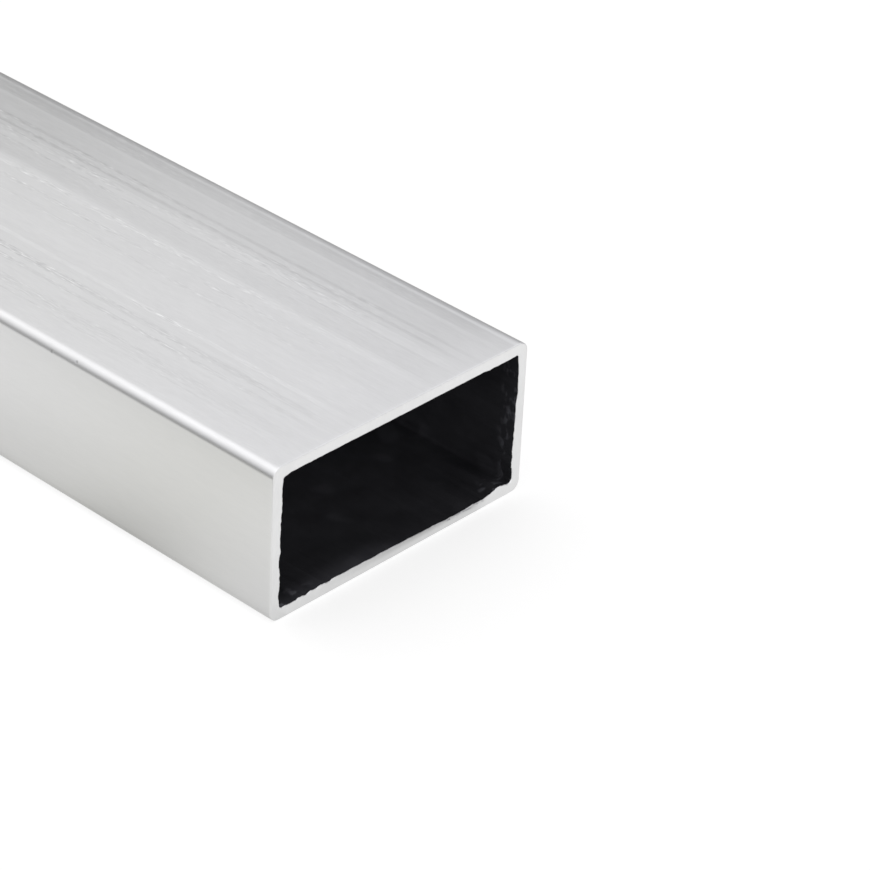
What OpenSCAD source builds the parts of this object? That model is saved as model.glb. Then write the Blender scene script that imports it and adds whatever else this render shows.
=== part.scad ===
// Rectangular aluminium tube: one extruded length of hollow section, sawn square at both ends.
// Millimetres. The tube lies on its wide face along X, with the origin under its middle.

/* [Section] */
// Width over the two narrow faces
tube_width = 60; // [20:1:200]
// Height over the two wide faces
tube_height = 30; // [15:1:120]
// Thickness of all four walls
wall = 2; // [1:0.1:5]
// Radius of the four long outer edges
outer_radius = 2; // [0.5:0.1:3]
// Radius of the four long corners inside the bore
bore_radius = 0.8; // [0.2:0.1:2]

/* [Length] */
// Length that the stock is sold in
tube_length = 1000; // [250:50:3000]

/* [Sawn ends] */
// Width of the small bevel that deburring leaves round both rims of each cut
edge_break = 0.2; // [0.05:0.05:0.4]

/* [Hidden] */
$fn = 64;
mill_finish = [0.82, 0.83, 0.84];
bore_width = tube_width - 2 * wall;
bore_height = tube_height - 2 * wall;
// How far the bore's cutter runs on past each end
overcut = 1;

// Half of a bar's outline seen from the side, from its foot to its head.
// The first and last edge_in of the height lean in by edge_in, or out when lean is -1.
function flank(half, tall, edge_in, lean) = [
    [half - lean * edge_in, 0],
    [half, edge_in],
    [half, tall - edge_in],
    [half - lean * edge_in, tall],
];

// The same outline on both sides of the axis.
function both_flanks(half, tall, edge_in, lean) = let (
    right = flank(half, tall, edge_in, lean),
    last = len(right) - 1
) concat(right, [for (i = [last:-1:0]) [-right[i].x, right[i].y]]);

// Slab standing on its edge: its two faces at X carry the leaning ends.
module slab(across, deep, tall, edge_in, lean)
    rotate([90, 0, 0])
        linear_extrude(height = deep, center = true)
            polygon(both_flanks(across / 2, tall, edge_in, lean));

// Round post that rounds one long corner of a bar.
module corner_post(radius, tall, edge_in, lean)
    rotate_extrude()
        polygon(concat([[0, 0]], flank(radius, tall, edge_in, lean), [[0, tall]]));

// Upright bar of rounded rectangular section. With lean 1 its two ends are bevelled by edge_in,
// and with lean -1 they flare by as much.
module bar(across, deep, radius, tall, edge_in, lean) {
    slab(across, deep - 2 * radius, tall, edge_in, lean);
    rotate([0, 0, 90])
        slab(deep, across - 2 * radius, tall, edge_in, lean);
    for (x = [-1, 1], y = [-1, 1])
        translate([x * (across / 2 - radius), y * (deep / 2 - radius), 0])
            corner_post(radius, tall, edge_in, lean);
}

// The cutter for the bore: it flares at each end, so that the inner rim is bevelled too.
module bore()
    translate([0, 0, -overcut])
        bar(bore_width, bore_height, bore_radius, tube_length + 2 * overcut, edge_break + overcut, -1);

module tube()
    color(mill_finish)
        translate([-tube_length / 2, 0, tube_height / 2])
            rotate([90, 0, 90])
                difference() {
                    bar(tube_width, tube_height, outer_radius, tube_length, edge_break, 1);
                    bore();
                }

tube();
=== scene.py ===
import math

import bpy
from mathutils import Matrix, Vector


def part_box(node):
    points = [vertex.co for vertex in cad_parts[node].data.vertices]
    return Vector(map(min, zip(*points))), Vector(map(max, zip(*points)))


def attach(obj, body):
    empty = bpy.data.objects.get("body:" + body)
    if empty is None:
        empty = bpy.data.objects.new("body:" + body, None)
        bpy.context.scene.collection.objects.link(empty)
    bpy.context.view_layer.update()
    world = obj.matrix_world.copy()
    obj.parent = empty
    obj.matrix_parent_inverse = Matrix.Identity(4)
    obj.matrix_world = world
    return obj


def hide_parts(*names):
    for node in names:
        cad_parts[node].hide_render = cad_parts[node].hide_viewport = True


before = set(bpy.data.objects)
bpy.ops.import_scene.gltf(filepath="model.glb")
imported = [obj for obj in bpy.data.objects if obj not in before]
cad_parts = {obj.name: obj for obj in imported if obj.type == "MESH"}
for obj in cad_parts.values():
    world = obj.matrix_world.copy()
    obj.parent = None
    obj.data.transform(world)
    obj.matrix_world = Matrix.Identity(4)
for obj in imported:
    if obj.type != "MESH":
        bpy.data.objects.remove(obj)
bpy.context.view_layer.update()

MM = 0.001

# Section of the stock
WALL = 2.0 * MM
OUTER_RADIUS = 2.0 * MM
BORE_RADIUS = 0.8 * MM
EDGE_BREAK = 0.2 * MM

# Relief of the metal
DIE_LINE_DEPTH = 0.012 * MM
FACE_SAG = 0.03 * MM
RAGGED_EDGE = 0.8 * MM

# How finely the tube is meshed
ROUND_STEPS = 10
WIDE_STEPS = 160
NARROW_STEPS = 76
LENGTH_STEPS = 70
RIM_ROUND_STEPS = 4
RIM_STEPS = 5
SHORT_STEP = 0.1 * MM
WELD_DISTANCE = 0.001 * MM
# Added before a share of steps is rounded down, so that a whole one stays whole
NUDGE = 1e-5

# Finishes
SKIN_TONE = 0.69
SKIN_ROUGHNESS = 0.30
RIM_TONE = 0.76
RIM_ROUGHNESS = 0.40
# The bore is painted near black, as painted shade inside the tube
BORE_TONE = 0.032
BORE_ROUGHNESS = 0.6
MID_HEIGHT = 15.0 * MM

# Long marks on the upper face, which the underside repeats. Place across it and half width in
# millimetres, then the change of tone, and how scratched the mark is.
UPPER_FACE_MARKS = (
    (27.9, 0.35, -0.10, 0.0),
    (26.2, 1.9, -0.09, 0.2),
    (26.6, 0.5, -0.04, 0.0),
    (22.0, 7.0, -0.05, 0.0),
    (21.3, 2.2, -0.03, 0.0),
    (18.7, 0.40, -0.08, 0.4),
    (17.5, 1.4, -0.02, 0.3),
    (16.6, 0.40, -0.07, 0.4),
    (14.7, 0.8, -0.01, 0.75),
    (12.5, 0.30, -0.06, 0.7),
    (9.8, 2.2, -0.04, 0.1),
    (6.2, 0.7, 0.03, 0.8),
    (2.8, 0.6, -0.01, 0.7),
    (-0.8, 0.5, -0.01, 0.4),
    (-4.5, 3.5, 0.01, 0.0),
    (-10.4, 0.5, 0.05, 1.0),
    (-13.9, 0.8, -0.05, 1.0),
    (-16.5, 0.5, -0.04, 1.0),
    (-21.5, 1.2, -0.035, 0.4),
    (-23.6, 0.3, -0.02, 0.4),
)

# Small nicks in the front edge, in millimetres: distance from the near end, across and up. Their
# depth is in thousandths of a millimetre.
EDGE_NICKS = ((53, -30.0, 28.4), (47, -29.8, 28.9))
NICK_DEPTH = 30

# Burrs along the mouth of the bore at the near end, in millimetres: across, up, reach, and how
# far they stand into the bore
MOUTH_BURRS = (
    (0.0, 30.0, 60.0, 0.17),
    (24.0, 28.0, 8.0, 0.15),
    (28.0, 22.0, 7.0, -0.35),
    (-28.0, 25.0, 8.0, 0.15),
    (-28.0, 28.0, 2.5, 0.30),
    (-30.0, 8.0, 10.0, -0.10),
    (-16.0, 0.0, 18.0, 0.22),
    (15.0, 2.0, 16.0, -0.40),
    (25.0, 2.0, 4.5, 0.45),
)

# The camera, measured from the near end's middle on the floor
CAMERA_PLACE = Vector((345.7, -374.6, 346.2)) * MM
CAMERA_AZIMUTH = 42.12
CAMERA_ELEVATION = 32.29
CAMERA_ROLL = 2.89
CAMERA_LENS = 151.7
SENSOR = 36.0

# Grey of the floor, the glow that makes it look white, and the glow of the sky behind it as it
# lights the tube and as it is seen
FLOOR_GREY = 0.5
FLOOR_SEEN_GLOW = 0.7
SKY_GLOW = 0.6
SKY_SEEN_GLOW = 1.0

# Tones of the light tent, by degrees over the tube from the back (0) to the front (180)
TENT_TONES = (
    (0, 0.52), (20, 0.52), (32, 0.55), (37, 0.85), (42, 1.24), (52, 1.10), (62, 1.01), (75, 1.02),
    (88, 1.20), (102, 1.44), (120, 1.49), (135, 1.38), (150, 1.17), (165, 0.92), (180, 0.62),
)

# Tones of the cards on the floor, by metres along the tube and by metres across it. The cards only
# show in reflections, and where they darken right by the tube they are a painted shadow of the tube.
FRONT_ALONG = (
    (-3.0, 1.10), (0.39, 1.10), (0.41, 1.08), (0.43, 1.055), (0.444, 1.03), (0.455, 1.01),
    (0.465, 1.01), (0.48, 1.04), (0.495, 1.08), (0.55, 1.08),
)
FRONT_ACROSS = (
    (-1.0, 0.58), (-0.12, 0.37), (-0.095, 0.28), (-0.08, 0.46), (-0.068, 0.93), (-0.058, 1.05),
    (-0.045, 0.90), (-0.034, 0.80), (-0.0323, 0.85), (-0.0306, 0.75), (-0.029, 0.60),
    (-0.026, 0.50),
)
END_ALONG = ((0.50, 0.86), (0.504, 0.93), (0.509, 0.96), (0.52, 0.985), (0.53, 1.07), (0.60, 1.10))
END_ACROSS = ((-0.03, 1.0), (0.20, 1.0))
BACK_ALONG = ((-3.0, 1.0), (0.50, 1.0))
BACK_ACROSS = ((0.06, 0.9), (0.09, 0.52), (3.0, 0.52))

# How warm the front card gets where it is darker along the tube, and its soft dark spot, a painted
# shadow at the tube's foot: the place along the tube, the reach along it and out, and the strength
FRONT_WARMTH = 0.36
FRONT_SHADE = (0.464, 0.024, 0.020, 0.19)


class Field:
    """An output socket that takes part in arithmetic. Each operation adds a Math node to its tree."""

    def __init__(self, tree, socket):
        self.tree = tree
        self.socket = socket

    def math(self, operation, *others):
        node = self.tree.nodes.new("ShaderNodeMath")
        node.operation = operation
        for slot, value in zip(node.inputs, (self, *others)):
            plug(self.tree, slot, value)
        return Field(self.tree, node.outputs[0])

    def __add__(self, other):
        return self.math("ADD", other)

    __radd__ = __add__

    def __sub__(self, other):
        return self.math("SUBTRACT", other)

    def __rsub__(self, other):
        return (self * -1).math("ADD", other)

    def __mul__(self, other):
        return self.math("MULTIPLY", other)

    __rmul__ = __mul__

    def __truediv__(self, other):
        return self.math("DIVIDE", other)

    def above(self, other):
        return self.math("GREATER_THAN", other)

    def below(self, other):
        return self.math("LESS_THAN", other)

    def size(self):
        return self.math("ABSOLUTE")

    def clamped(self):
        node = self.math("ADD", 0.0)
        node.socket.node.use_clamp = True
        return node

    def rising(self, low, high):
        """0 up to low, 1 from high on, and a soft rise between them."""
        node = self.tree.nodes.new("ShaderNodeMapRange")
        node.interpolation_type = "SMOOTHSTEP"
        for slot, value in zip(node.inputs, (self, low, high)):
            plug(self.tree, slot, value)
        return Field(self.tree, node.outputs[0])


def plug(tree, slot, value):
    """Gives an input a field, a bare socket or a plain value."""
    if isinstance(value, Field):
        tree.links.new(value.socket, slot)
    elif isinstance(value, bpy.types.NodeSocket):
        tree.links.new(value, slot)
    else:
        slot.default_value = value


def add(tree, kind, inputs=None, **settings):
    """Adds a node, with its settings and its inputs by name or number."""
    node = tree.nodes.new(kind)
    for name, value in settings.items():
        setattr(node, name, value)
    for name, value in (inputs or {}).items():
        plug(tree, node.inputs[name], value)
    return node


def field(node, output=0):
    return Field(node.id_data, node.outputs[output])


def new_group(name, kind, inputs, outputs):
    """A node group with named sockets. Returns the tree, its inputs as fields, and its output node."""
    tree = bpy.data.node_groups.new(name, kind)
    for label, (socket_type, value) in inputs.items():
        socket = tree.interface.new_socket(label, in_out="INPUT", socket_type=socket_type)
        if value is not None:
            socket.default_value = value
    for label, socket_type in outputs.items():
        tree.interface.new_socket(label, in_out="OUTPUT", socket_type=socket_type)
    source = tree.nodes.new("NodeGroupInput")
    fields = {label: Field(tree, source.outputs[label]) for label in inputs}
    return tree, fields, tree.nodes.new("NodeGroupOutput")


def vector(tree, x, y, z):
    return field(add(tree, "ShaderNodeCombineXYZ", {0: x, 1: y, 2: z}))


def split(tree, value):
    node = add(tree, "ShaderNodeSeparateXYZ", {0: value})
    return [field(node, i) for i in range(3)]


def distance(tree, place, point):
    node = add(tree, "ShaderNodeVectorMath", {0: place, 1: point}, operation="DISTANCE")
    return field(node, "Value")


def noise(tree, place, scale, detail=2.0, roughness=0.5):
    """Soft noise from 0 to 1 over a place."""
    return field(add(tree, "ShaderNodeTexNoise",
                     {"Vector": place, "Scale": scale, "Detail": detail, "Roughness": roughness}))


# Geometry of the tube

def rounded_walk():
    """Group: a walk round a rectangle with rounded corners, one step at a time, anticlockwise.
    It starts where the right side meets the upper right corner. Each straight side has one short
    step at either end, so that the shading of a corner stays out of the flat."""
    tree, given, out = new_group("Rounded walk", "GeometryNodeTree", {
        "Step": ("NodeSocketFloat", 0.0),
        "Width": ("NodeSocketFloat", 1.0),
        "Height": ("NodeSocketFloat", 1.0),
        "Radius": ("NodeSocketFloat", 0.1),
        "Short step": ("NodeSocketFloat", 0.1),
        "Corner steps": ("NodeSocketFloat", 4.0),
        "Wide steps": ("NodeSocketFloat", 4.0),
        "Narrow steps": ("NodeSocketFloat", 4.0),
    }, {"Across": "NodeSocketFloat", "Up": "NodeSocketFloat",
        "Out across": "NodeSocketFloat", "Out up": "NodeSocketFloat"})
    half_walk = given["Corner steps"] * 2 + given["Wide steps"] + given["Narrow steps"]
    halves = (given["Step"] / half_walk + NUDGE).math("FLOOR")
    within = given["Step"] - halves * half_walk
    first_leg = given["Corner steps"] + given["Wide steps"]
    narrow = within.above(first_leg - 0.5)
    corner = halves * 2 + narrow
    local = within - narrow * first_leg
    side_steps = given["Wide steps"] + narrow * (given["Narrow steps"] - given["Wide steps"])
    half_width = given["Width"] / 2 - given["Radius"]
    half_height = given["Height"] / 2 - given["Radius"]
    side = (half_width + narrow * (half_height - half_width)) * 2
    share = given["Short step"] / side
    turned = (local / given["Corner steps"]).clamped()
    step = local - given["Corner steps"]
    inner = ((step - 1) / (side_steps - 2)).clamped()
    slid = share + (1 - share * 2) * inner - share * step.below(0.5)
    slid = slid + share * step.above(side_steps - 0.5)
    angle = (corner + turned) * (math.pi / 2)
    out_across, out_up = angle.math("COSINE"), angle.math("SINE")
    middle = corner * (math.pi / 2) + math.pi / 4
    ahead = middle + math.pi / 2
    root = math.sqrt(2)
    for name, half, turn, outward in (("Across", half_width, "COSINE", out_across),
                                      ("Up", half_height, "SINE", out_up)):
        here = middle.math(turn) * root * half
        there = ahead.math(turn) * root * half
        place = here + slid * (there - here) + outward * given["Radius"]
        plug(tree, out.inputs[name], place)
    plug(tree, out.inputs["Out across"], out_across)
    plug(tree, out.inputs["Out up"], out_up)
    return tree


def tube_tree():
    """Geometry nodes: a grid wrapped twice. One way it goes round the section, and the other way
    it goes along the outside, over the sawn rim, back through the bore and over the other rim."""
    numbers = ("Length", "Width", "Height", "Wall", "Outer radius", "Bore radius", "Edge break",
               "Die line depth", "Face sag", "Ragged edge")
    inputs = {name: ("NodeSocketFloat", 0.0) for name in numbers}
    for name in ("Skin", "Sawn rim", "Bore"):
        inputs[name] = ("NodeSocketMaterial", None)
    tree, given, out = new_group("Extruded tube", "GeometryNodeTree", inputs,
                                 {"Geometry": "NodeSocketGeometry"})
    around = 2 * (2 * ROUND_STEPS + WIDE_STEPS + NARROW_STEPS)
    along = 2 * (2 * RIM_ROUND_STEPS + LENGTH_STEPS + RIM_STEPS)
    grid = add(tree, "GeometryNodeMeshGrid", {"Vertices X": around + 1, "Vertices Y": along + 1})
    index = field(add(tree, "GeometryNodeInputIndex"))
    round_step = (index / (along + 1) + NUDGE).math("FLOOR")
    long_step = index - round_step * (along + 1)
    walk = rounded_walk()

    def walked(step, width, height, radius, corner_steps, wide_steps, narrow_steps):
        node = add(tree, "GeometryNodeGroup", node_tree=walk)
        for slot, value in zip(node.inputs, (step, width, height, radius, SHORT_STEP,
                                             corner_steps, wide_steps, narrow_steps)):
            plug(tree, slot, value)
        return [field(node, i) for i in range(4)]

    skin_y, skin_z, out_y, out_z = walked(
        round_step, given["Width"], given["Height"], given["Outer radius"],
        ROUND_STEPS, WIDE_STEPS, NARROW_STEPS)
    bore_y, bore_z, _, _ = walked(
        round_step, given["Width"] - given["Wall"] * 2, given["Height"] - given["Wall"] * 2,
        given["Bore radius"], ROUND_STEPS, WIDE_STEPS, NARROW_STEPS)
    x, in_wall, _, _ = walked(
        long_step, given["Length"], given["Wall"], given["Edge break"],
        RIM_ROUND_STEPS, LENGTH_STEPS, RIM_STEPS)
    depth = 0.5 - in_wall / given["Wall"]
    y = skin_y + depth * (bore_y - skin_y)
    z = skin_z + depth * (bore_z - skin_z)
    relief = metal_relief(tree, x, y, z, depth, given)
    y = y - out_y * relief
    z = z - out_z * relief
    moved = add(tree, "GeometryNodeSetPosition", {
        "Geometry": grid.outputs["Mesh"],
        "Position": vector(tree, x, y, z + given["Height"] / 2)})
    merged = add(tree, "GeometryNodeMergeByDistance",
                 {"Geometry": moved.outputs[0], "Distance": WELD_DISTANCE})
    smooth = add(tree, "GeometryNodeSetShadeSmooth", {"Geometry": merged.outputs[0]})
    real = add(tree, "GeometryNodeRealizeInstances", {"Geometry": smooth.outputs[0]})
    plug(tree, out.inputs[0], dressed(tree, real.outputs[0], given))
    return tree


def metal_relief(tree, x, y, z, depth, given):
    """How far the metal moves in from its true section. The skin, at depth 0, has die lines and
    sag. At the sawn ends the inner edge, at depth 1, is ragged and burrs stand into the bore."""
    # Cells of noise per metre: few along the tube, more across it
    lines = noise(tree, vector(tree, x * 4, y * 1500, z * 1500), 1.0)
    sag = noise(tree, vector(tree, x * 6, y * 60, z * 60), 1.0)
    ragged = noise(tree, vector(tree, x, y, z), 450.0, 3.0, 0.6) - 0.5
    skin = (lines * given["Die line depth"] + sag * given["Face sag"]) * (1 - depth).clamped()
    torn = ragged * given["Ragged edge"] * (1 - z / given["Height"])
    torn = torn * (0.4 + 0.8 * y.size().rising(6 * MM, 22 * MM))
    at_cut = x.size().above(given["Length"] / 2 - 1 * MM) * depth.rising(0.75, 0.95)
    return skin + (torn + mouth_burrs(tree, x, y, z, given)) * at_cut


def mouth_burrs(tree, x, y, z, given):
    """How far the burrs at the near end stand into the bore."""
    place = vector(tree, 0.0, y, z + given["Height"] / 2)
    height = 0.0
    for across, up, reach, size in MOUTH_BURRS:
        gap = distance(tree, place, (0, across * MM, up * MM))
        height = (1 - gap.rising(0.0, reach * MM)) * (size * MM) + height
    return height * x.above(0.0)


def dressed(tree, metal, given):
    """Gives the metal its skin, its sawn rims and the near black bore, which is painted shade and
    stops short of the broken edges."""
    x, y, z = split(tree, field(add(tree, "GeometryNodeInputPosition")))
    rim_start = given["Length"] / 2 - given["Edge break"] * 0.9
    on_rim = x.size().above(rim_start)
    within_y = y.size().below(given["Width"] / 2 - given["Wall"] * 0.8)
    within_z = (z - given["Height"] / 2).size().below(given["Height"] / 2 - given["Wall"] * 0.8)
    in_bore = within_y * within_z * x.size().below(rim_start)
    for name, part in (("Skin", True), ("Sawn rim", on_rim), ("Bore", in_bore)):
        metal = add(tree, "GeometryNodeSetMaterial",
                    {"Geometry": metal, "Selection": part, "Material": given[name]}).outputs[0]
    return metal


def make_tube(materials):
    low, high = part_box("tube")
    size = high - low
    tree = tube_tree()
    mesh = bpy.data.meshes.new("tube_seed")
    shaper = bpy.data.objects.new("tube_seed", mesh)
    bpy.context.scene.collection.objects.link(shaper)
    modifier = shaper.modifiers.new("Extrude", "NODES")
    modifier.node_group = tree
    values = {"Length": size.x, "Width": size.y, "Height": size.z, "Wall": WALL,
              "Outer radius": OUTER_RADIUS, "Bore radius": BORE_RADIUS, "Edge break": EDGE_BREAK,
              "Die line depth": DIE_LINE_DEPTH, "Face sag": FACE_SAG, "Ragged edge": RAGGED_EDGE}
    values.update(materials)
    for item in tree.interface.items_tree:
        if item.in_out == "INPUT":
            modifier[item.identifier] = values[item.name]
    depsgraph = bpy.context.evaluated_depsgraph_get()
    made = bpy.data.meshes.new_from_object(shaper.evaluated_get(depsgraph))
    bpy.data.objects.remove(shaper)
    made.name = "extruded_tube"
    piece = bpy.data.objects.new("extruded_tube", made)
    bpy.context.scene.collection.objects.link(piece)
    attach(piece, "root")
    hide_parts("tube")


# Finishes

def new_material(name):
    material = bpy.data.materials.new(name)
    material.use_nodes = True
    tree = material.node_tree
    return material, tree, tree.nodes["Principled BSDF"]


def tone_ramp(tree, place, stops):
    """A tone that changes along a place, by stops of place and tone."""
    low, high = stops[0][0], stops[-1][0]
    ramp = add(tree, "ShaderNodeValToRGB", {"Fac": (place - low) / (high - low)})
    for index, (at, tone) in enumerate(stops):
        if index > 1:
            ramp.color_ramp.elements.new(1.0)
        stop = ramp.color_ramp.elements[index]
        stop.position = (at - low) / (high - low)
        stop.color = (tone, tone, tone, 1)
    return field(ramp, "Color")


def hue(tree, red, green, blue):
    return field(add(tree, "ShaderNodeCombineColor", {0: red, 1: green, 2: blue}))


def use_group(tree, group, *values):
    """Places a group with its values in order, and returns its outputs as fields."""
    node = add(tree, "ShaderNodeGroup", node_tree=group)
    for slot, value in zip(node.inputs, values):
        plug(tree, slot, value)
    return [field(node, i) for i in range(len(node.outputs))]


def die_line_group():
    """Group: the lines that the die draws along the metal. Width is the width of a line and Run is
    how far it keeps its tone. Lines are 0 in the middle and run to about 0.3 either way."""
    tree, given, out = new_group("Die lines", "ShaderNodeTree", {
        "Place": ("NodeSocketVector", None),
        "Width": ("NodeSocketFloat", 1 * MM),
        "Run": ("NodeSocketFloat", 100 * MM),
        "Shift": ("NodeSocketFloat", 0.0),
    }, {"Lines": "NodeSocketFloat"})
    x, y, z = split(tree, given["Place"])
    place = vector(tree, x / given["Run"] + given["Shift"], y / given["Width"], z / given["Width"])
    plug(tree, out.inputs["Lines"], noise(tree, place, 1.0, 2.0, 0.5) - 0.5)
    return tree


def die_mark_group():
    """Group: one long mark at a place across a face. Its edges are soft and wander a little, and
    its strength changes along its length. Grit says where it is scratched."""
    tree, given, out = new_group("Die mark", "ShaderNodeTree", {
        "Place": ("NodeSocketVector", None),
        "Across": ("NodeSocketFloat", 0.0),
        "Half width": ("NodeSocketFloat", 1 * MM),
        "Strength": ("NodeSocketFloat", 0.0),
        "Scratched": ("NodeSocketFloat", 0.0),
    }, {"Tone": "NodeSocketFloat", "Grit": "NodeSocketFloat"})
    x, y, _ = split(tree, given["Place"])
    own = given["Across"] * 1000
    wander = noise(tree, vector(tree, x * 15, own, 0), 1.0) - 0.5
    steady = noise(tree, vector(tree, x * 30, own, 9), 1.0)
    away = (y - given["Across"] + wander * (0.4 * MM)).size()
    core = 1 - away.rising(given["Half width"] - 0.2 * MM, given["Half width"] + 0.2 * MM)
    plug(tree, out.inputs["Tone"], core * given["Strength"] * (0.5 + steady))
    plug(tree, out.inputs["Grit"], core * given["Scratched"])
    return tree


def cut_margin_group():
    """Group: 1 at the saw cuts, falling to 0 at a reach from them along the tube."""
    tree, given, out = new_group("Cut margin", "ShaderNodeTree", {
        "Place": ("NodeSocketVector", None),
        "Half length": ("NodeSocketFloat", 500 * MM),
        "Reach": ("NodeSocketFloat", 1 * MM),
    }, {"Margin": "NodeSocketFloat"})
    x, _, _ = split(tree, given["Place"])
    plug(tree, out.inputs["Margin"], x.size().rising(given["Half length"] - given["Reach"],
                                                     given["Half length"]))
    return tree


def make_groups():
    return {"lines": die_line_group(), "mark": die_mark_group(), "margin": cut_margin_group()}


def start_finish(name, metallic, roughness):
    """A material, its tree, its shader and its own place on the tube."""
    material, tree, shader = new_material(name)
    shader.inputs["Metallic"].default_value = metallic
    shader.inputs["Roughness"].default_value = roughness
    return material, tree, shader, field(add(tree, "ShaderNodeTexCoord"), "Object")


def paint(tree, shader, red, green, blue):
    plug(tree, shader.inputs["Base Color"], hue(tree, red, green, blue))


def emboss(tree, shader, microns):
    """Bump from a height in thousandths of a millimetre."""
    bump = add(tree, "ShaderNodeBump", {"Height": microns, "Distance": 0.001 * MM})
    plug(tree, shader.inputs["Normal"], bump.outputs["Normal"])


def mill_skin(groups, half_length):
    """Bare extruded metal. Fine die lines run along all of it, the long marks and most of the
    scratches are on the wide faces, and the front edge has small nicks."""
    material, tree, shader, place = start_finish("mill_skin", 1.0, SKIN_ROUGHNESS)
    x, y, z = split(tree, place)
    wide_face = (z - MID_HEIGHT).size().rising(13 * MM, 14.5 * MM)
    # The underside is the upper face turned over about the tube's own axis
    upward = z.above(MID_HEIGHT) * 2 - 1
    face_place = vector(tree, x, y * upward, z)
    # Die lines of five sizes, by width, run and shift
    bands, = use_group(tree, groups["lines"], place, 4 * MM, 400 * MM, 0.0)
    lines, = use_group(tree, groups["lines"], place, 0.6 * MM, 90 * MM, 7.0)
    grain, = use_group(tree, groups["lines"], place, 0.8 * MM, 4.5 * MM, 13.0)
    dashes, = use_group(tree, groups["lines"], place, 0.3 * MM, 2.2 * MM, 21.0)
    clouds, = use_group(tree, groups["lines"], place, 8 * MM, 40 * MM, 29.0)
    busy = noise(tree, vector(tree, x * 60, y * 250, z * 250), 1.0).rising(0.32, 0.55)
    marks, grit = 0.0, 0.0
    for across, half_width, strength, scratch_share in UPPER_FACE_MARKS:
        mark, rough_part = use_group(tree, groups["mark"], face_place, across * MM, half_width * MM,
                                     strength, scratch_share)
        marks, grit = mark + marks, rough_part + grit
    # The marks fade close to the cuts, and their scratches end further in
    wiped, = use_group(tree, groups["margin"], place, half_length, 13 * MM)
    calm, = use_group(tree, groups["margin"], place, half_length, 50 * MM)
    marks = marks * (1 - wiped * 0.8)
    scratched = grit.clamped() * busy * (1 - calm)
    streaks = (bands * 0.04 + lines * 0.04) * (0.25 + 0.75 * wide_face)
    scratches = (grain * 0.09 + dashes * 0.08) * (0.45 + 0.55 * wide_face)
    scratches = scratches + (dashes * 0.66 + dashes.rising(0.10, 0.22) * 0.18) * scratched
    # Painted shade: away from the ends, the part of the face behind its middle is darker
    from_end = half_length - x.size()
    painted_far_shade = (y * upward).rising(7.8 * MM, 8.8 * MM) * from_end.rising(60 * MM, 130 * MM) * wide_face
    # A painted highlight: a thin pale line near the back edge, strongest at the ends
    painted_highlight_line, _ = use_group(tree, groups["mark"], face_place, 27.3 * MM, 0.40 * MM,
                         0.09 - 0.05 * from_end.rising(10 * MM, 70 * MM), 0.0)
    # The nicks are real dents in the bump, and their colour is darkened too, as painted shade in them
    nicks = 0.0
    for from_near, across, up in EDGE_NICKS:
        gap = distance(tree, place, (half_length - from_near * MM, across * MM, up * MM))
        nicks = (1 - gap.rising(0.05 * MM, 0.40 * MM)) + nicks
    margin, = use_group(tree, groups["margin"], place, half_length, 1.2 * MM)
    tone = 1 + marks + painted_highlight_line + streaks + scratches + clouds * 0.03 + margin * 0.03 - painted_far_shade * 0.11
    tone = SKIN_TONE * tone - nicks * 0.17
    paint(tree, shader, tone, tone, tone)
    plug(tree, shader.inputs["Roughness"], SKIN_ROUGHNESS + clouds * 0.04 - marks * 0.1)
    emboss(tree, shader, lines * 0.6 + dashes * scratched * 2 - nicks * NICK_DEPTH)
    return material


def sawn_rim(groups):
    """Cut metal at the ends, with slanted saw strokes. Painted shade darkens a stretch of the lower
    wall, most towards the bore, and painted light makes the lower corner at the back lighter."""
    material, tree, shader, place = start_finish("sawn_rim", 1.0, RIM_ROUGHNESS)
    x, y, z = split(tree, place)
    cut_place = vector(tree, z + y * 0.3, y - z * 0.3, x)
    strokes, = use_group(tree, groups["lines"], cut_place, 0.3 * MM, 8 * MM, 3.0)
    mottle = noise(tree, place, 350.0, 3.0) - 0.5
    patches = noise(tree, place, 80.0) - 0.5
    lower_wall = 1 - z.rising(2.2 * MM, 4 * MM)
    # Painted shade along the lower wall, darkest towards the bore
    lower_shade_span = y.rising(-24 * MM, 8 * MM) * (1 - y.rising(18 * MM, 23 * MM))
    painted_lower_shade = lower_wall * lower_shade_span * (0.07 + 0.30 * z.rising(0.7 * MM, 1.9 * MM))
    # Painted light: the lower corner at the back is lighter
    painted_corner_light = y.rising(18 * MM, 23 * MM) * (1 - z.rising(0.0, 16 * MM))
    tone = 1 + strokes * 0.06 + mottle * 0.10 + patches * 0.10 - painted_lower_shade + painted_corner_light * 0.09
    tone = RIM_TONE * tone
    paint(tree, shader, tone, tone, tone)
    plug(tree, shader.inputs["Roughness"], RIM_ROUGHNESS + mottle * 0.15)
    emboss(tree, shader, strokes * 4 + mottle * 10)
    return material


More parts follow.
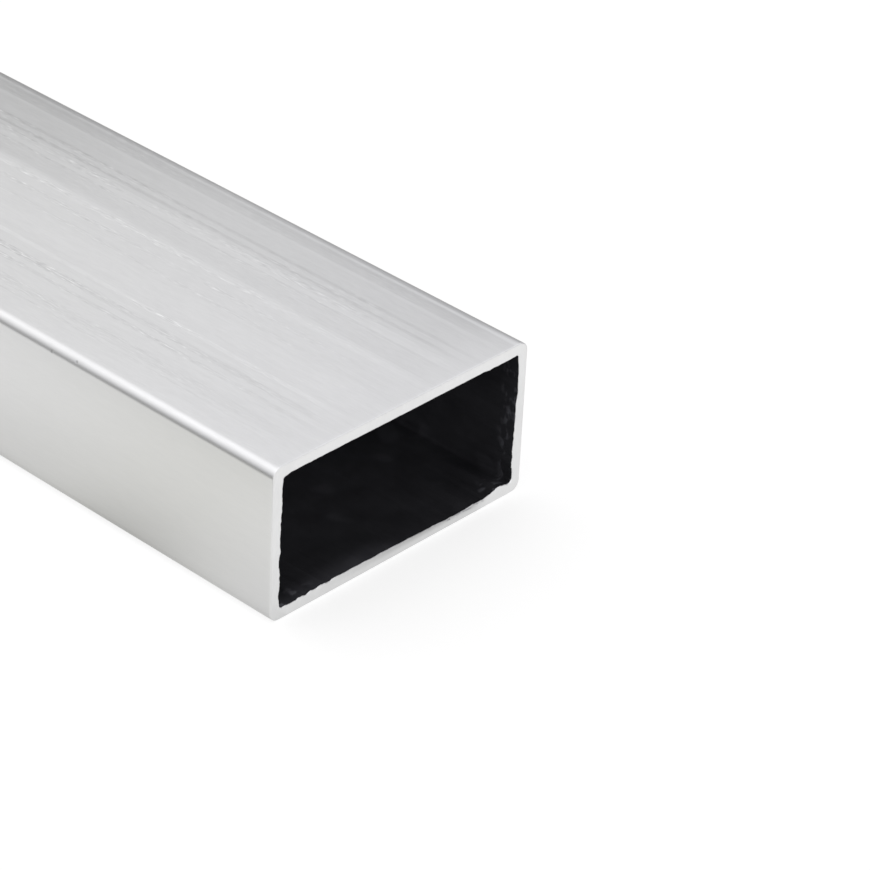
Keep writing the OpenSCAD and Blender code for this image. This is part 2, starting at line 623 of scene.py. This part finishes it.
def dark_bore(groups, half_length):
    """The inside of the bore, painted near black as painted shade. Deeper in it is painted lighter,
    to even out the shade there, so it is darkest towards its mouths. Painted shade darkens the
    floor, most near a mouth. Right at a mouth the side walls have pale spots of painted highlight,
    and the front half of the floor has a pale strip of painted light."""
    material, tree, shader, place = start_finish("dark_bore", 0.0, BORE_ROUGHNESS)
    shader.inputs["Specular IOR Level"].default_value = 0.1
    x, y, z = split(tree, place)
    lines, = use_group(tree, groups["lines"], place, 1.2 * MM, 30 * MM, 5.0)
    clouds = noise(tree, place, 200.0, 3.0) - 0.5
    spots = noise(tree, place, 150.0, 1.0).rising(0.60, 0.75)
    shallow, = use_group(tree, groups["margin"], place, half_length, 30 * MM)
    mouth, = use_group(tree, groups["margin"], place, half_length, 5 * MM)
    chatter = noise(tree, vector(tree, x * 700, y * 450, z * 450), 1.0)
    # Painted highlights: pale spots on the side walls right at a mouth
    mouth_highlights = mouth * chatter.rising(0.50, 0.70) * y.size().rising(17 * MM, 25 * MM)
    floor_part = 1 - z.rising(2.2 * MM, 4 * MM)
    # Painted light: a pale strip on the front half of the floor right at a mouth
    painted_lip_light = floor_part * mouth * (1 - y.rising(-10 * MM, 6 * MM))
    # Painted light: deeper in, the colour is lighter, to even out the shade there
    tone = (2.6 - shallow * 1.6) * (1 + lines * 0.1 + clouds * 0.8 + spots * 0.4)
    # Painted shade: the floor is darker, most near a mouth
    tone = BORE_TONE * tone * (1 - floor_part * (0.08 + 0.22 * shallow))
    tone = tone + mouth_highlights * 0.12 + painted_lip_light * 0.03
    paint(tree, shader, tone, tone, tone * 1.15)
    plug(tree, shader.inputs["Roughness"], BORE_ROUGHNESS + clouds * 0.2)
    emboss(tree, shader, lines + chatter * 4)
    return material


# Floor, light and camera

def seen_directly(tree):
    """1 for rays that come straight from the camera or off metal or glass."""
    path = add(tree, "ShaderNodeLightPath")
    return (field(path, "Is Camera Ray") + field(path, "Is Glossy Ray")
            + field(path, "Is Transmission Ray")).clamped()


def make_floor():
    size = 12.0
    mesh = bpy.data.meshes.new("floor")
    mesh.from_pydata([(-size, -size, 0), (size, -size, 0), (size, size, 0), (-size, size, 0)], [],
                     [(0, 1, 2, 3)])
    floor = bpy.data.objects.new("floor", mesh)
    bpy.context.scene.collection.objects.link(floor)
    material, tree, shader = new_material("floor_white")
    shader.inputs["Base Color"].default_value = (FLOOR_GREY, FLOOR_GREY, FLOOR_GREY, 1)
    shader.inputs["Roughness"].default_value = 1.0
    shader.inputs["Specular IOR Level"].default_value = 0.0
    shader.inputs["Emission Color"].default_value = (1, 1, 1, 1)
    plug(tree, shader.inputs["Emission Strength"], seen_directly(tree) * FLOOR_SEEN_GLOW)
    mesh.materials.append(material)


def make_world():
    world = bpy.data.worlds.new("studio")
    world.use_nodes = True
    bpy.context.scene.world = world
    tree = world.node_tree
    background = tree.nodes["Background"]
    background.inputs["Color"].default_value = (1, 1, 1, 1)
    strength = seen_directly(tree) * (SKY_SEEN_GLOW - SKY_GLOW) + SKY_GLOW
    plug(tree, background.inputs["Strength"], strength)


def softbox(name, place, target, size_x, size_y, radiance):
    """A lamp for the floor and its shadow. Metal mirrors the light tent in its place."""
    light = bpy.data.lights.new(name, "AREA")
    light.shape = "RECTANGLE"
    light.size, light.size_y = size_x, size_y
    light.energy = radiance * math.pi * size_x * size_y
    lamp = bpy.data.objects.new(name, light)
    bpy.context.scene.collection.objects.link(lamp)
    lamp.location = place
    lamp.rotation_euler = (Vector(target) - Vector(place)).to_track_quat("-Z", "Y").to_euler()
    lamp.visible_glossy = False


def glowing_sheet(name, corners, faces, glow):
    """A studio sheet that only shows in reflections. Glow makes its colour from its own place."""
    mesh = bpy.data.meshes.new(name)
    mesh.from_pydata(corners, [], faces)
    sheet = bpy.data.objects.new(name, mesh)
    bpy.context.scene.collection.objects.link(sheet)
    material, tree, shader = new_material(name)
    shader.inputs["Base Color"].default_value = (0, 0, 0, 1)
    shader.inputs["Specular IOR Level"].default_value = 0.0
    place = split(tree, add(tree, "ShaderNodeTexCoord").outputs["Object"])
    plug(tree, shader.inputs["Emission Color"], glow(tree, place))
    shader.inputs["Emission Strength"].default_value = 1.0
    mesh.materials.append(material)
    sheet.visible_camera = False
    sheet.visible_diffuse = False
    sheet.visible_transmission = False
    sheet.visible_shadow = False


def light_tent(radius, stops):
    """A white arch over the tube, lit by stops of angle and tone, from the back (0) to the front
    (180). Past the camera's view of the tube it fades along its length, and it is a little cooler
    over the near end than over the far one."""
    near_x, far_x, panels = 2.0, -3.0, 60
    corners, faces = [], []
    for panel in range(panels + 1):
        angle = math.pi * panel / panels
        for x in (near_x, far_x):
            corners.append((x, radius * math.cos(angle), radius * math.sin(angle)))
    for panel in range(panels):
        first = 2 * panel
        faces.append((first, first + 1, first + 3, first + 2))

    def glow(tree, place):
        angle = place[2].math("ARCTAN2", place[1]) * (180 / math.pi)
        tone = tone_ramp(tree, angle, stops) * (0.72 + 0.28 * place[0].rising(-0.95, -0.42))
        cool = 1 + 0.025 * place[0].rising(-0.35, -0.22)
        return hue(tree, tone, tone, tone * cool)

    glowing_sheet("light_tent", corners, faces, glow)


def foot_card(name, x_stops, y_stops, warmth=0.0, shade=None):
    """A card on the floor that the tube mirrors, with its tone by stops of place and tone along it
    and across it. Where the tone along it is low the card is warmer. Shade is a soft dark spot at
    its edge by the tube: the place along it, the reach along it and out, and the strength."""
    rise = 0.2 * MM
    x0, x1, y0, y1 = x_stops[0][0], x_stops[-1][0], y_stops[0][0], y_stops[-1][0]
    corners = [(x0, y0, rise), (x1, y0, rise), (x1, y1, rise), (x0, y1, rise)]

    def glow(tree, place):
        along = tone_ramp(tree, place[0], x_stops)
        tone = along * tone_ramp(tree, place[1], y_stops)
        if shade:
            spot_x, reach_x, reach_y, strength = shade
            spot = vector(tree, (place[0] - spot_x) / reach_x, (place[1] - y1) / reach_y, 0.0)
            dark = (1 - distance(tree, spot, (0, 0, 0)).rising(0.0, 1.0)) * strength
            tone = tone * (1 - dark)
        return hue(tree, tone, tone, tone * (1 - warmth * (1.1 - along)))

    glowing_sheet(name, corners, [(0, 1, 2, 3)], glow)


def make_lights():
    light_tent(radius=1.0, stops=TENT_TONES)
    foot_card("front_floor", FRONT_ALONG, FRONT_ACROSS, warmth=FRONT_WARMTH, shade=FRONT_SHADE)
    foot_card("end_floor", END_ALONG, END_ACROSS)
    foot_card("back_floor", BACK_ALONG, BACK_ACROSS)
    softbox("overhead_softbox", place=(-0.4, -0.3, 1.0), target=(-0.4, -0.1, 0),
            size_x=2.4, size_y=0.8, radiance=0.40)


def make_camera():
    low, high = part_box("tube")
    camera = bpy.data.objects.new("camera", bpy.data.cameras.new("camera"))
    bpy.context.scene.collection.objects.link(camera)
    azimuth, elevation = math.radians(CAMERA_AZIMUTH), math.radians(CAMERA_ELEVATION)
    back = Vector((math.sin(azimuth) * math.cos(elevation), -math.cos(azimuth) * math.cos(elevation),
                   math.sin(elevation)))
    turn = (-back).to_track_quat("-Z", "Y").to_matrix().to_4x4()
    roll = Matrix.Rotation(math.radians(CAMERA_ROLL), 4, "Z")
    camera.matrix_world = Matrix.Translation(CAMERA_PLACE + Vector((high.x, 0, low.z))) @ turn @ roll
    camera.data.lens = CAMERA_LENS
    camera.data.sensor_width = SENSOR
    camera.data.clip_start, camera.data.clip_end = 0.01, 60.0
    bpy.context.scene.camera = camera


make_camera()
make_floor()
make_world()
make_lights()
groups = make_groups()
half_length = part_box("tube")[1].x
make_tube({"Skin": mill_skin(groups, half_length), "Sawn rim": sawn_rim(groups),
           "Bore": dark_bore(groups, half_length)})

bpy.context.scene.view_settings.view_transform = "Standard"
